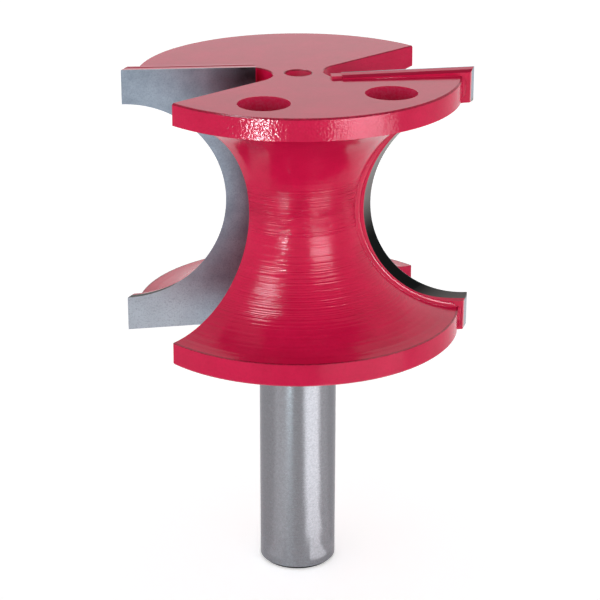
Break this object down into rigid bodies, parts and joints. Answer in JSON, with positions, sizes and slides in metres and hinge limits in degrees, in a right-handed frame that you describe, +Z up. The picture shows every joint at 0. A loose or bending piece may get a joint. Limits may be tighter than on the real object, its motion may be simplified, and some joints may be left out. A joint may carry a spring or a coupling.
{
  "type": "router bit",
  "caption": "Bull-nose router bit: a red spool-shaped steel head with brazed half-circle carbide cutters in milled gullets, on a plain cylindrical shank.",
  "frame": {"origin": "centre of the shank's end face, the lowest point of the bit standing on its shank", "axes": "+Z up the bit's axis from the shank to the head, X along the two cutting faces, which look along -Y on the -X side and +Y on the +X side"},
  "size_m": [0.0554, 0.0524, 0.0856],
  "materials": {
    "coated_steel": "glossy red non-stick coating on the head, bare ground steel on the shank",
    "carbide": "ground tungsten carbide, matte",
    "braze": "brazed joint, mostly under the coating"
  },
  "bodies": {
    "root": {"bit_body": "coated_steel", "carbide_cutter_1": "carbide", "carbide_cutter_2": "carbide", "braze_layer_1": "braze", "braze_layer_2": "braze"}
  },
  "joints": []
}
